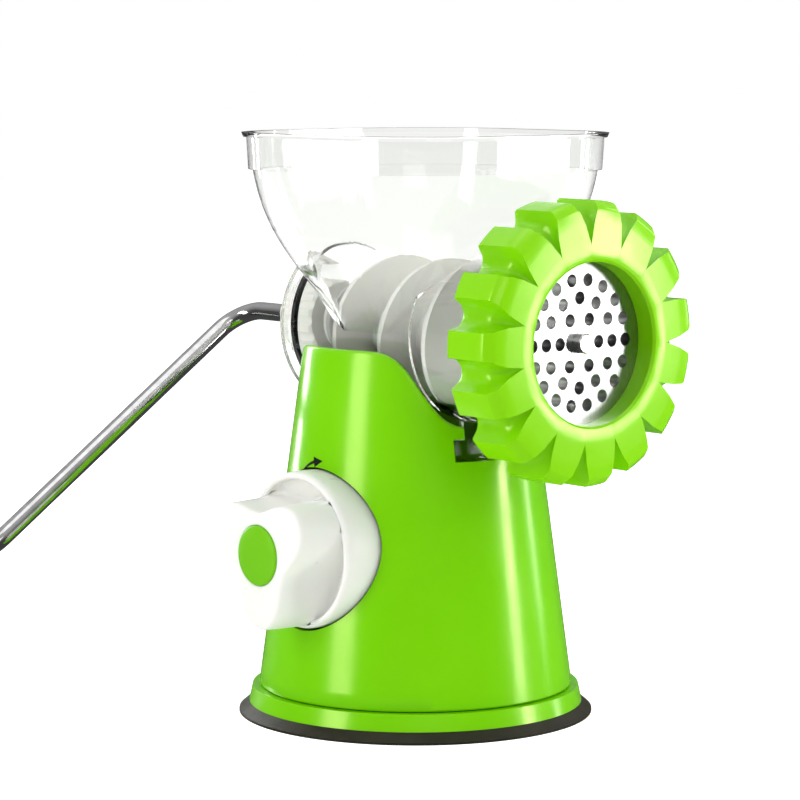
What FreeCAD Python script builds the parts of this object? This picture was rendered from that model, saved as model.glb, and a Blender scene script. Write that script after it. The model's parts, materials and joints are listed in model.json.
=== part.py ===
import FreeCAD, Part
import math
import os
import Sketcher

# Hand crank meat grinder on a suction base. Millimetres, +Z up, origin at the middle of the foot on the
# table. The outlet looks along -Y, the suction knob along -X, and the crank is at the rear, +Y.
# Pieces on the barrel's line are drawn about a local Z that points out of the outlet. Pieces on the
# knob's line are drawn about a local Z that points out of the knob.

Vector = FreeCAD.Vector

SIZES = {
    # foot and base
    "foot_radius": 65.0, "rim_height": 3.9, "foot_lip": 5.0,
    "band_slope": 1.3, "band_top": 9.9, "groove_gap": 0.4, "groove_depth": 2.0, "tower_step": 2.4,
    "tower_shoulder": 8.8, "tower_drop": 5.6, "tower_wall": 2.6,
    "ledge_low": 12.6, "ledge_high": 15.0, "floor_thick": 2.4, "screw_inset": 12.6, "screw_radius": 1.75,
    "boss_radius": 4.5, "boss_height": 16.0, "saddle_gap": 0.5, "notch_half": 13.0,
    "lug_left": 17.7, "lug_neck_left": 13.7, "lug_right": 10.0, "lug_drop": 11.6, "lug_foot_rise": 7.4,
    "slot_gap": 0.3,
    # knob, cam and suction stem
    "knob_height": 64.5, "drum_radius": 28.2, "drum_gap": 0.8, "drum_stand": 5.66, "drum_depth": 19.0,
    "handle_rise": 17.9, "lobe_inset": 1.5, "lobe_radius": 8.5, "knob_core": 15.5, "cap_radius": 10.8,
    "well_wall": 2.4, "well_room": 4.0, "cam_radius": 6.0, "cam_throw": 2.83, "cam_pin_radius": 2.5,
    "cam_disc_radius": 9.0, "run_gap": 0.06, "slide_gap": 0.3, "bush_wall": 2.0,
    "stem_radius": 4.0, "yoke_width": 9.0, "yoke_thick": 4.0, "plate_radius": 26.0, "plate_thick": 2.0,
    "bracket_reach": 21.0, "bracket_screw": 9.0,
    # barrel line
    "axis_height": 141.4, "bore_radius": 27.4, "mouth_step": 2.2, "barrel_wall": 2.6, "barrel_swell": 2.0,
    "barrel_step": 33.0, "thread_rise": 3.4, "thread_start": 73.6, "flange_lip": 2.0,
    "barrel_end": 86.0, "plate_seat": 5.0, "rear_wall": 36.0, "rear_wall_thick": 3.0,
    "flange_thick": 3.0, "hopper_wall": 2.6,
    "hopper_rise": 70.8, "hopper_half_x": 58.0, "hopper_half_y": 60.0, "hopper_shift": -5.0,
    "band_height": 13.2, "band_inset": 3.6,
    "shaft_radius": 6.0, "shaft_rear": 60.0, "square_start": 66.0, "square_end": 80.5, "square_extra": 3.0,
    "pin_step": 2.5, "pin_end": 89.9, "auger_gap": 0.8, "core_wall": 4.5, "auger_pitch": 25.0,
    "auger_rear": 30.2, "auger_front": 65.5, "flight_thick": 4.0, "blade_gap": 2.6,
    "blade_start": 73.0, "blade_end": 80.6, "disc_seat": 2.5, "disc_thick": 5.0, "hole_radius": 2.3,
    "hole_pitch": 6.4, "nut_rear": 72.5, "nut_front": 94.5, "nut_grip": 14.1, "nut_bevel": 5.5,
    "nut_lip": 3.7, "valley_radius": 6.6, "valley_tilt": 14.0, "teeth": 15.0,
    # crank
    "hub_front": 42.0, "hub_rear": 63.0, "hub_radius": 15.5, "flute_radius": 2.2, "rod_radius": 3.4,
    "arm_offset": 103.0, "arm_length": 150.0, "arm_drop": 35.0, "bend_radius": 13.0,
    "grip_start": 117.0, "grip_length": 76.0, "grip_radius": 13.5, "grip_neck": 10.5,
}

# Sizes that follow from others, so that what fits together stays together.
FITS = {
    "band_radius": "foot_radius - foot_lip",
    "tower_foot_radius": "band_radius - tower_step",
    "screw_circle": "tower_foot_radius - screw_inset",
    "barrel_rear": "bore_radius + barrel_wall",
    "barrel_front": "barrel_rear + barrel_swell",
    "mouth_bore": "bore_radius + mouth_step",
    "thread_radius": "barrel_front + thread_rise",
    "flange_radius": "barrel_rear + flange_lip",
    "auger_radius": "bore_radius - auger_gap",
    "blade_radius": "mouth_bore - blade_gap",
    "disc_radius": "mouth_bore + disc_seat",
    "nut_radius": "thread_radius + nut_grip",
    "nut_opening": "disc_radius - nut_lip",
    "auger_core": "shaft_radius + core_wall",
    "square_side": "shaft_radius + square_extra",
    "pin_radius": "shaft_radius - pin_step",
    "tower_top": "axis_height - tower_drop",
    "tower_top_radius": "barrel_front + tower_shoulder",
    "notch_floor": "axis_height - barrel_front - saddle_gap",
    "lug_low": "notch_floor - lug_drop",
    "lug_step": "lug_low + lug_foot_rise",
    "hopper_top": "axis_height + hopper_rise",
    "tower_rate": "(tower_foot_radius - tower_top_radius) / (tower_top - band_top - groove_gap)",
    "wall_at_knob": "tower_foot_radius - (knob_height - band_top - groove_gap) * tower_rate",
    "drum_face": "wall_at_knob + drum_stand",
    "drum_back": "drum_face - drum_depth",
    "knob_face": "drum_face + handle_rise",
    "well_floor": "drum_back - well_room",
    "lobe_reach": "drum_radius - lobe_radius - lobe_inset",
}

doc = FreeCAD.newDocument("meat_grinder")
sheet = doc.addObject("Spreadsheet::Sheet", "dims")
CELLS = {alias: str(value) for alias, value in SIZES.items()}
CELLS.update({alias: "=" + formula for alias, formula in FITS.items()})
for row, (alias, content) in enumerate(CELLS.items(), start=1):
    sheet.set("A%d" % row, alias)
    sheet.setAlias("B%d" % row, alias)
    sheet.set("B%d" % row, content)
doc.recompute()
NODES = []


def size(alias):
    """The plain number in the sheet's cell of that name."""
    return float(getattr(sheet, alias))


def bound(text):
    """An expression in which each sheet name is read from the sheet."""
    words = sorted(CELLS, key=len, reverse=True)
    for index, word in enumerate(words):
        text = text.replace(word, "@%d@" % index)
    for index, word in enumerate(words):
        text = text.replace("@%d@" % index, "dims.%s" % word)
    return text


def value_of(text):
    """The number that an expression gives now."""
    result = sheet.evalExpression(bound(text))
    return float(getattr(result, "Value", result))


def bind(thing, **expressions):
    """Binds each property of a document object to an expression of the sheet's cells."""
    for name, text in expressions.items():
        thing.setExpression(name.replace("__", "."), bound(text))


def node(thing, label):
    thing.Label = label
    NODES.append(thing)
    return thing


def body(label):
    return node(doc.addObject("PartDesign::Body", label), label)


def on_barrel_line(thing):
    """Local Z points out of the outlet and local Y up."""
    thing.Placement = FreeCAD.Placement(Vector(0, 0, 0), FreeCAD.Rotation(Vector(1, 0, 0), 90))
    bind(thing, Placement__Base__z="axis_height")
    return thing


def on_knob_line(thing):
    """Local Z points out of the knob, local X up and local Y to the rear."""
    thing.Placement = FreeCAD.Placement(Vector(0, 0, 0), FreeCAD.Rotation(Vector(0, 1, 0), -90))
    bind(thing, Placement__Base__z="knob_height")
    return thing


def sketch_on(owner, name, role="XZ_Plane", offset="0"):
    """An empty sketch on one of the body's own planes, or a free one in the document."""
    if owner is None:
        return doc.addObject("Sketcher::SketchObject", name)
    sketch = owner.newObject("Sketcher::SketchObject", name)
    plane = [item for item in owner.Origin.OriginFeatures if item.Role == role][0]
    sketch.AttachmentSupport = [(plane, "")]
    sketch.MapMode = "FlatFace"
    bind(sketch, AttachmentOffset__Base__z=offset)
    return sketch


def fix_point(sketch, geometry, point, x, y):
    """Places a sketch point at two expressions."""
    for kind, text in (("DistanceX", x), ("DistanceY", y)):
        index = sketch.addConstraint(Sketcher.Constraint(kind, -1, 1, geometry, point, value_of(text)))
        sketch.setExpression("Constraints[%d]" % index, bound(text))


def polygon(owner, name, points, role="XZ_Plane", offset="0"):
    """A closed outline through points, each a pair of expressions."""
    sketch = sketch_on(owner, name, role, offset)
    spots = [Vector(value_of(x), value_of(y), 0) for x, y in points]
    for start, end in zip(spots, spots[1:] + spots[:1]):
        sketch.addGeometry(Part.LineSegment(start, end), False)
    for index in range(len(points)):
        following = (index + 1) % len(points)
        sketch.addConstraint(Sketcher.Constraint("Coincident", index, 2, following, 1))
    for index, (x, y) in enumerate(points):
        fix_point(sketch, index, 1, x, y)
    return sketch


def circle(owner, name, radius, x="0", y="0", role="XY_Plane", offset="0"):
    sketch = sketch_on(owner, name, role, offset)
    centre = Vector(value_of(x), value_of(y), 0)
    sketch.addGeometry(Part.Circle(centre, Vector(0, 0, 1), value_of(radius)), False)
    index = sketch.addConstraint(Sketcher.Constraint("Radius", 0, value_of(radius)))
    sketch.setExpression("Constraints[%d]" % index, bound(radius))
    fix_point(sketch, 0, 3, x, y)
    return sketch


def revolve(owner, name, points):
    """A solid turned about the body's local Z from (radius, height) points."""
    turned = owner.newObject("PartDesign::Revolution", name)
    profile = polygon(owner, name + "_outline", points)
    turned.Profile = (profile, [""])
    turned.ReferenceAxis = (profile, ["V_Axis"])
    turned.Angle = 360
    doc.recompute()
    return turned


def pad(owner, name, profile, length):
    padded = owner.newObject("PartDesign::Pad", name)
    padded.Profile = (profile, [""])
    bind(padded, Length=length)
    doc.recompute()
    return padded


def pocket(owner, name, profile, length, upwards=True):
    """A cut from the sketch, up the local Z unless told otherwise. It must take material away."""
    before = owner.Shape.Volume
    cut = owner.newObject("PartDesign::Pocket", name)
    cut.Profile = (profile, [""])
    cut.Reversed = upwards
    bind(cut, Length=length)
    doc.recompute()
    if owner.Shape.Volume > before - 0.01:
        raise ValueError("%s cuts nothing" % name)
    return cut


def polar(owner, name, feature, count):
    pattern = owner.newObject("PartDesign::PolarPattern", name)
    pattern.Originals = [feature]
    pattern.Axis = (feature.Profile[0], ["N_Axis"])
    pattern.Angle = 360
    bind(pattern, Occurrences=count)
    owner.Tip = pattern
    doc.recompute()
    return pattern


def cylinder(name, radius, height, **places):
    """A Part cylinder along Z."""
    made = doc.addObject("Part::Cylinder", name)
    bind(made, Radius=radius, Height=height, **places)
    return made


def across(name, radius, height, x="0", y="0", z="0"):
    """A Part cylinder that runs along -X from the given place."""
    made = doc.addObject("Part::Cylinder", name)
    made.Placement = FreeCAD.Placement(Vector(0, 0, 0), FreeCAD.Rotation(Vector(0, 1, 0), -90))
    bind(made, Radius=radius, Height=height, Placement__Base__x=x, Placement__Base__y=y,
         Placement__Base__z=z)
    return made


def along(name, radius, start, end):
    """A Part cylinder on the barrel's line between two distances from the middle."""
    made = on_barrel_line(doc.addObject("Part::Cylinder", name))
    bind(made, Radius=radius, Height="%s - (%s)" % (end, start), Placement__Base__y="-(%s)" % start)
    return made


def block(name, low, high):
    """A Part box between two corners given as expressions."""
    made = doc.addObject("Part::Box", name)
    bind(made, Length="%s - (%s)" % (high[0], low[0]), Width="%s - (%s)" % (high[1], low[1]),
         Height="%s - (%s)" % (high[2], low[2]), Placement__Base__x=low[0], Placement__Base__y=low[1],
         Placement__Base__z=low[2])
    return made


def cone(name, low, high, foot, top):
    made = doc.addObject("Part::Cone", name)
    bind(made, Radius1=foot, Radius2=top, Height="%s - (%s)" % (high, low), Placement__Base__z=low)
    return made


def fuse(name, shapes):
    made = doc.addObject("Part::MultiFuse", name)
    made.Shapes = shapes
    return made


def cut(name, base, tools):
    made = doc.addObject("Part::Cut", name)
    made.Base = base
    made.Tool = tools[0] if len(tools) == 1 else fuse(name + "_tools", tools)
    return made


def common(name, shapes):
    made = doc.addObject("Part::MultiCommon", name)
    made.Shapes = shapes
    return made


# Heights and radii that several pieces share.
TOWER_LOW = "band_top + groove_gap"
SPIGOT = "tower_foot_radius - tower_wall - 0.3 - (ledge_high - (%s)) * tower_rate" % TOWER_LOW
FLOOR_TOP = "ledge_high + floor_thick"
WELL_RADIUS = "drum_radius + drum_gap"
PIN_DROP = "cam_throw * 0.7071"
PLATE_LOW = "rim_height + 1.5"
DISC_FRONT = "barrel_end + 0.2"


def tower_wall_shell(name, inset_out, inset_in, low, high):
    """A slice of the tower's wall, between two insets from its outside."""
    foot_outer = "tower_foot_radius - (%s - (%s)) * tower_rate - (%s)" % (low, TOWER_LOW, inset_out)
    top_outer = "tower_foot_radius - (%s - (%s)) * tower_rate - (%s)" % (high, TOWER_LOW, inset_out)
    outer = cone(name + "_outside", low, high, foot_outer, top_outer)
    inner = cone(name + "_inside", low, high, "%s - (%s)" % (foot_outer, inset_in),
                 "%s - (%s)" % (top_outer, inset_in))
    return cut(name, outer, [inner])


def notch_prism(name, gap):
    """The saddle that the barrel lies in, cut through the tower from front to rear."""
    points = [("-notch_half", "notch_floor"), ("notch_half", "notch_floor"),
              ("notch_half + 8", "notch_floor + 3.6"), ("barrel_front - 6.4", "notch_floor + 9"),
              ("barrel_front - 2.2", "notch_floor + 18"), ("barrel_front + 0.2", "notch_floor + 24"),
              ("barrel_front + 3.5", "tower_top"), ("barrel_front + 3.5", "tower_top + 20"),
              ("-barrel_front - 3.5", "tower_top + 20"), ("-barrel_front - 3.5", "tower_top"),
              ("-barrel_front - 0.2", "notch_floor + 24"), ("-barrel_front + 2.2", "notch_floor + 18"),
              ("-barrel_front + 6.4", "notch_floor + 9"), ("-notch_half - 8", "notch_floor + 3.6")]
    outline = polygon(None, name + "_outline", points)
    outline.Placement = FreeCAD.Placement(Vector(0, 0, 0), FreeCAD.Rotation(Vector(1, 0, 0), 90))
    prism = doc.addObject("Part::Extrusion", name)
    prism.Base = outline
    prism.DirMode = "Custom"
    prism.Dir = Vector(0, -1, 0)
    prism.Solid = True
    prism.LengthFwd = gap
    prism.LengthRev = gap
    return prism


def base_tower():
    outer = cone("tower_outside", TOWER_LOW, "tower_top", "tower_foot_radius", "tower_top_radius")
    inner = cone("tower_inside", TOWER_LOW, "tower_top", "tower_foot_radius - tower_wall",
                 "tower_top_radius - tower_wall")
    shell = cut("tower_shell", outer, [inner])
    well = across("well_outside", WELL_RADIUS + " + well_wall", "foot_radius - well_floor",
                  "-well_floor", "0", "knob_height")
    well_inside = common("well_trimmed", [well, outer])
    bosses = []
    for index in range(4):
        angle = 45 + 90 * index
        bosses.append(cylinder("tower_boss_%d" % index, "boss_radius", "boss_height",
                               Placement__Base__x="screw_circle * cos(%d)" % angle,
                               Placement__Base__y="screw_circle * sin(%d)" % angle,
                               Placement__Base__z=FLOOR_TOP))
    ribs = []
    for index in range(4):
        angle = 45 + 90 * index
        rib = doc.addObject("Part::Box", "boss_rib_%d" % index)
        rib.Placement = FreeCAD.Placement(Vector(0, 0, 0), FreeCAD.Rotation(Vector(0, 0, 1), angle))
        bind(rib, Length="tower_foot_radius - screw_circle", Width="2", Height="boss_height",
             Placement__Base__x="screw_circle * cos(%d) + sin(%d)" % (angle, angle),
             Placement__Base__y="screw_circle * sin(%d) - cos(%d)" % (angle, angle),
             Placement__Base__z=FLOOR_TOP)
        ribs.append(rib)
    ribs_inside = common("ribs_trimmed", [fuse("ribs_joined", ribs), outer])
    whole = fuse("tower_whole", [shell, well_inside, ribs_inside] + bosses)
    tools = [across("well_bore", WELL_RADIUS, "foot_radius", "-well_floor - well_wall", "0", "knob_height"),
             across("bush_bore", "cam_radius + run_gap + bush_wall", "drum_back + 3", "-well_floor + 10", "0",
                    "knob_height"),
             notch_prism("saddle", size("tower_foot_radius")),
             block("slot_neck", ("-lug_neck_left - slot_gap", "-foot_radius", "lug_step - 1"),
                   ("lug_right + 4 + slot_gap", "-20", "notch_floor + 1")),
             block("slot_foot", ("-lug_left - slot_gap", "-foot_radius", "lug_low - slot_gap"),
                   ("lug_right + 4 + slot_gap", "-20", "lug_step + slot_gap"))]
    for index in range(4):
        angle = 45 + 90 * index
        tools.append(cylinder("boss_pilot_%d" % index, "screw_radius", "boss_height - 3",
                              Placement__Base__x="screw_circle * cos(%d)" % angle,
                              Placement__Base__y="screw_circle * sin(%d)" % angle,
                              Placement__Base__z=FLOOR_TOP + " - 1"))
    node(cut("base_tower", whole, tools), "base_tower")


def base_band():
    band = body("base_band")
    revolve(band, "band_turned", [
        ("screw_circle - 6", "ledge_low"), ("band_radius - 8", "ledge_low"),
        ("band_radius - 8", "rim_height"), ("band_radius + band_slope", "rim_height"),
        ("band_radius", "band_top"), ("tower_foot_radius - groove_depth", "band_top"),
        (SPIGOT, TOWER_LOW), (SPIGOT, "ledge_high"), ("screw_circle - 6", "ledge_high")])
    holes = circle(band, "band_hole_outline", "screw_radius + 0.2", "screw_circle * cos(45)",
                   "screw_circle * sin(45)", offset="ledge_low")
    polar(band, "band_holes", pocket(band, "band_hole", holes, "ledge_high - ledge_low + 1"), "4")


def base_floor():
    floor = body("base_floor")
    revolve(floor, "floor_turned", [
        ("stem_radius + run_gap", "ledge_high"), (SPIGOT + " - 0.4", "ledge_high"),
        (SPIGOT + " - 0.4", FLOOR_TOP),
        ("stem_radius + 4", FLOOR_TOP), ("stem_radius + 4", FLOOR_TOP + " + 16"),
        ("stem_radius + run_gap", FLOOR_TOP + " + 16")])
    holes = circle(floor, "floor_hole_outline", "screw_radius + 0.2", "screw_circle * cos(45)",
                   "screw_circle * sin(45)", offset="ledge_high")
    polar(floor, "floor_holes", pocket(floor, "floor_hole", holes, "floor_thick"), "4")
    for side in (-1, 1):
        outline = circle(floor, "bracket_hole_outline_%d" % (side + 1), "screw_radius + 0.2",
                         "-bracket_reach", "%d * bracket_screw" % side, offset="ledge_high")
        pocket(floor, "bracket_hole_%d" % (side + 1), outline, "floor_thick")


def screws(label, spots, head_low, tip):
    """Identical pan head screws, point up, as separate solids of one node."""
    made = []
    for index, (x, y) in enumerate(spots):
        head = cylinder("%s_head_%d" % (label, index), "screw_radius * 1.9", "1.8",
                        Placement__Base__x=x, Placement__Base__y=y,
                        Placement__Base__z="%s - 1.8" % head_low)
        shank = cylinder("%s_shank_%d" % (label, index), "screw_radius - 0.02", "%s - (%s)" % (tip, head_low),
                         Placement__Base__x=x, Placement__Base__y=y, Placement__Base__z=head_low)
        made.append(fuse("%s_one_%d" % (label, index), [head, shank]))
    group = doc.addObject("Part::Compound", label)
    group.Links = made
    node(group, label)


def suction_cup():
    cup = body("suction_cup")
    revolve(cup, "cup_turned", [
        ("0", "0"), ("foot_radius", "0"), ("foot_radius", "0.8"), ("foot_radius - 3.6", "rim_height - 0.05"),
        ("plate_radius + 6", "rim_height - 0.05"), ("plate_radius", PLATE_LOW + " - 0.05"),
        ("0", PLATE_LOW + " - 0.05")])


def pressure_plate():
    plate = body("pressure_plate")
    revolve(plate, "plate_turned", [
        ("stem_radius - 1", PLATE_LOW), ("plate_radius - 1", PLATE_LOW),
        ("plate_radius - 1", PLATE_LOW + " + plate_thick"),
        ("stem_radius - 1", PLATE_LOW + " + plate_thick")])


def stem_nut():
    nut = body("stem_nut")
    sides = [("6.5 * cos(%d)" % angle, "6.5 * sin(%d)" % angle) for angle in range(0, 360, 60)]
    outline = polygon(nut, "nut_hexagon", sides, "XY_Plane", PLATE_LOW + " + plate_thick")
    pad(nut, "nut_body", outline, "2.6")
    hole = circle(nut, "nut_hole_outline", "stem_radius - 1", offset=PLATE_LOW + " + plate_thick")
    pocket(nut, "nut_hole", hole, "4")


def suction_stem():
    """A pull rod whose slotted head rides on the cam's pin."""
    slot = "cam_pin_radius + slide_gap"
    middle = "knob_height - %s" % PIN_DROP
    rod = cylinder("stem_rod", "stem_radius", "%s - %s - (%s)" % (middle, slot, "15 - 3"),
                   Placement__Base__z="12")
    tail = cylinder("stem_tail", "stem_radius - 1", "12.5 - (%s)" % PLATE_LOW, Placement__Base__z=PLATE_LOW)
    head = block("stem_head", ("-yoke_thick", "-yoke_width", "%s - %s - 4" % (middle, slot)),
                 ("yoke_thick", "yoke_width", "%s + %s + 4" % (middle, slot)))
    reach = "cam_throw + cam_pin_radius + slide_gap"
    opening = block("stem_slot", ("-yoke_thick - 1", "-(%s)" % reach, "%s - (%s)" % (middle, slot)),
                    ("yoke_thick + 1", reach, "%s + %s" % (middle, slot)))
    node(cut("suction_stem", fuse("stem_solid", [rod, tail, head]), [opening]), "suction_stem")


def stem_spring():
    """Pushes the pressure plate down. A short coil between the plate and the floor."""
    spring = body("stem_spring")
    start = PLATE_LOW + " + plate_thick + 0.75"
    wire = circle(spring, "spring_wire", "0.6", "10", start, "XZ_Plane")
    coil = spring.newObject("PartDesign::AdditiveHelix", "spring_coil")
    coil.Profile = (wire, [""])
    coil.ReferenceAxis = (wire, ["V_Axis"])
    coil.Mode = 2
    bind(coil, Height="ledge_high - 1.4 - (%s)" % start)
    coil.Turns = 3
    doc.recompute()


def cam_bracket():
    """An upright on the floor that carries the inner end of the cam's shaft."""
    foot = block("bracket_foot", ("-bracket_reach - 5", "-bracket_screw - 4", FLOOR_TOP),
                 ("-bracket_reach + 5", "bracket_screw + 4", FLOOR_TOP + " + 3"))
    upright = block("bracket_upright", ("-bracket_reach - 2", "-cam_radius - 4", FLOOR_TOP),
                    ("-bracket_reach + 2", "cam_radius + 4", "knob_height"))
    crown = across("bracket_crown", "cam_radius + 4", "4", "-bracket_reach + 2", "0", "knob_height")
    tools = [across("bracket_bore", "cam_radius + run_gap", "20", "-10", "0", "knob_height")]
    for side in (-1, 1):
        tools.append(cylinder("bracket_pilot_%d" % (side + 1), "screw_radius", "8",
                              Placement__Base__x="-bracket_reach",
                              Placement__Base__y="%d * bracket_screw" % side,
                              Placement__Base__z=FLOOR_TOP + " - 1"))
    node(cut("cam_bracket", fuse("bracket_solid", [foot, upright, crown]), tools), "cam_bracket")


def shaft_bush():
    bush = on_knob_line(body("shaft_bush"))
    revolve(bush, "bush_turned", [
        ("cam_radius + run_gap", "well_floor - 2"), ("cam_radius + 4", "well_floor - 2"),
        ("cam_radius + 4", "well_floor"), ("cam_radius + run_gap + bush_wall - 0.02", "well_floor"),
        ("cam_radius + run_gap + bush_wall - 0.02", "well_floor + well_wall"),
        ("cam_radius + run_gap", "well_floor + well_wall")])


def cam_shaft():
    """The knob's shaft: a disc at its inner end carries the eccentric pin."""
    shaft = on_knob_line(body("cam_shaft"))
    pad(shaft, "shaft_bar", circle(shaft, "bar_outline", "cam_radius", offset="15"), "knob_face - 22")
    pad(shaft, "cam_disc", circle(shaft, "disc_outline", "cam_disc_radius", offset="11"), "5")
    pin = circle(shaft, "pin_outline", "cam_pin_radius", "-" + PIN_DROP, PIN_DROP, offset="-yoke_thick - 1")
    pad(shaft, "cam_pin", pin, "yoke_thick + 12.5")


def shaft_clip():
    clip = on_knob_line(body("shaft_clip"))
    revolve(clip, "clip_turned", [
        ("cam_radius + 0.01", "well_floor - 5"), ("cam_radius + 3", "well_floor - 5"),
        ("cam_radius + 3", "well_floor - 3.8"), ("cam_radius + 0.01", "well_floor - 3.8")])


def suction_knob():
    """A drum with a three-lobed handle on its face."""
    knob = on_knob_line(body("suction_knob"))
    revolve(knob, "drum_turned", [
        ("cam_radius + 0.01", "drum_back"), ("drum_radius", "drum_back"), ("drum_radius", "drum_face - 1.5"),
        ("drum_radius - 1.5", "drum_face"), ("drum_radius - 4", "drum_face"), ("knob_core", "drum_face - 2.5"),
        ("knob_core", "knob_face - 1"), ("knob_core - 1", "knob_face"), ("cam_radius + 0.01", "knob_face")])
    angle = 297
    lobe = circle(knob, "lobe_outline", "lobe_radius", "lobe_reach * cos(%d)" % angle,
                  "lobe_reach * sin(%d)" % angle, offset="drum_face - 3")
    polar(knob, "lobes", pad(knob, "lobe", lobe, "knob_face - drum_face + 3"), "3")
    seat = circle(knob, "seat_outline", "cap_radius + 0.1", offset="knob_face - 2")
    pocket(knob, "cap_seat", seat, "4")


def knob_cap():
    cap = on_knob_line(body("knob_cap"))
    revolve(cap, "cap_turned", [
        ("0", "knob_face - 1.95"), ("cap_radius", "knob_face - 1.95"), ("cap_radius", "knob_face - 0.2"),
        ("cap_radius - 0.8", "knob_face + 0.5"), ("0", "knob_face + 0.8")])


def knob_screw():
    """Holds the knob on its shaft, under the cap."""
    screw = on_knob_line(body("knob_screw"))
    revolve(screw, "screw_turned", [
        ("0", "knob_face - 6.9"), ("cam_radius - 0.3", "knob_face - 6.9"),
        ("cam_radius - 0.3", "knob_face - 3.2"), ("0", "knob_face - 3.2")])


def rounded_wire(half_x, half_y, corner, shift, height):
    """A level rounded rectangle of lines and corner arcs."""
    edges = []
    corners = [(1, 1, 0), (-1, 1, 90), (-1, -1, 180), (1, -1, 270)]
    ends = []
    for sign_x, sign_y, start in corners:
        centre = Vector(sign_x * (half_x - corner), shift + sign_y * (half_y - corner), height)
        spots = []
        for step in (0, 45, 90):
            turn = math.radians(start + step)
            spots.append(centre + Vector(corner * math.cos(turn), corner * math.sin(turn), 0))
        ends.append(spots)
    for index, spots in enumerate(ends):
        edges.append(Part.Arc(*spots).toShape())
        edges.append(Part.LineSegment(spots[2], ends[(index + 1) % 4][0]).toShape())
    return Part.Wire(edges)


def bowl(inset):
    """The hopper's curved bowl, from the barrel's axis up to its upper band."""
    shift = size("hopper_shift")
    band_low = size("hopper_top") - size("band_height")
    rise = band_low - size("axis_height")
    full_x = size("hopper_half_x") - size("band_inset")
    full_y = size("hopper_half_y") - size("band_inset")
    base_x = size("barrel_rear") + 0.4
    base_y = base_x - 4
    wires = []
    for level, share in ((0, 0), (0.17, 0.16), (0.42, 0.52), (0.68, 0.82), (1, 1)):
        half_x = base_x + (full_x - base_x) * share - inset
        half_y = base_y + (full_y - base_y) * share - inset
        corner = min(half_x, half_y) * 0.7
        wires.append(rounded_wire(half_x, half_y, corner, shift, size("axis_height") + rise * level))
    return Part.makeLoft(wires, True, False)


def hopper_band(inset, low, high, half_x, half_y):
    """A straight stretch of the hopper, slightly wider at the top."""
    shift = size("hopper_shift")
    wires = []
    for height, flare in ((low, -0.6), (high, 0)):
        wide = half_x + flare - inset
        deep = half_y + flare - inset
        wires.append(rounded_wire(wide, deep, min(wide, deep) * 0.7, shift, height))
    return Part.makeLoft(wires, True, True)


def shape_node(name, shape):
    made = doc.addObject("Part::Feature", name)
    made.Shape = shape
    return made


def grinder_housing():
    """Hopper, barrel, neck and lug in one clear moulding."""
    wall = size("hopper_wall")
    top = size("hopper_top")
    low = top - size("band_height")
    half_x = size("hopper_half_x")
    half_y = size("hopper_half_y")
    lip = 1.6
    upper = hopper_band(0, low, top - lip, half_x - 1.6, half_y - 1.6)
    rim = hopper_band(0, top - lip, top, half_x, half_y)
    hollow = hopper_band(wall, low - 0.01, top + 1, half_x - 1.6, half_y - 1.6)
    outside = shape_node("hopper_outside", bowl(0).fuse([upper, rim]))
    inside = shape_node("hopper_inside", bowl(wall).fuse(hollow))
    barrel = [along("barrel_back", "barrel_rear", "-rear_wall", "barrel_step + 1"),
              along("barrel_fore", "barrel_front", "barrel_step", "thread_start + 1"),
              along("barrel_thread", "thread_radius", "thread_start", "barrel_end"),
              along("barrel_flange", "flange_radius", "-rear_wall - flange_thick", "-rear_wall")]
    neck_low = "knob_height + %s + well_wall + 1" % WELL_RADIUS
    neck_height = "notch_floor + 14 - (%s)" % neck_low
    neck = cut("neck_ring", cylinder("neck_outside", "tower_top_radius - tower_wall - 1", neck_height,
                                     Placement__Base__z=neck_low),
               [cylinder("neck_inside", "tower_top_radius - tower_wall - 3.4", "40",
                         Placement__Base__z="notch_floor - 20")])
    slope_ring = tower_wall_shell("lug_ring", "0.2", "2.2", "lug_low", "notch_floor + 3")
    lug_boxes = fuse("lug_outline", [
        block("lug_neck", ("-lug_neck_left", "-foot_radius", "lug_low"),
              ("lug_right", "-20", "notch_floor + 3")),
        block("lug_foot", ("-lug_left", "-foot_radius", "lug_low"), ("lug_right", "-20", "lug_step"))])
    lug = common("lug", [slope_ring, lug_boxes])
    solid = fuse("housing_solid", [outside, neck, lug] + barrel)
    tools = [inside,
             along("barrel_bore", "bore_radius", "-rear_wall + rear_wall_thick", "barrel_end + 1"),
             along("barrel_mouth", "mouth_bore", "64", "barrel_end + 1"),
             along("plate_recess", "disc_radius + 0.1", "barrel_end - plate_seat", "barrel_end + 1"),
             along("shaft_opening", "shaft_radius + run_gap + bush_wall", "-rear_wall - 8", "-20"),
             along("flange_recess", "flange_radius - 3", "-rear_wall - 8", "-rear_wall")]
    node(cut("grinder_housing", solid, tools), "grinder_housing")


def rear_bush():
    bush = on_barrel_line(body("rear_bush"))
    revolve(bush, "rear_bush_turned", [
        ("shaft_radius + run_gap", "-rear_wall - 2"), ("shaft_radius + 6", "-rear_wall - 2"),
        ("shaft_radius + 6", "-rear_wall"), ("shaft_radius + run_gap + bush_wall - 0.02", "-rear_wall"),
        ("shaft_radius + run_gap + bush_wall - 0.02", "-rear_wall + rear_wall_thick"),
        ("shaft_radius + run_gap", "-rear_wall + rear_wall_thick")])


def seal_washer():
    washer = on_barrel_line(body("seal_washer"))
    revolve(washer, "washer_turned", [
        ("shaft_radius + run_gap", "-rear_wall + rear_wall_thick"),
        ("shaft_radius + 8", "-rear_wall + rear_wall_thick"), ("shaft_radius + 8", "-auger_rear - 0.7"),
        ("shaft_radius + run_gap", "-auger_rear - 0.7")])


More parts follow.
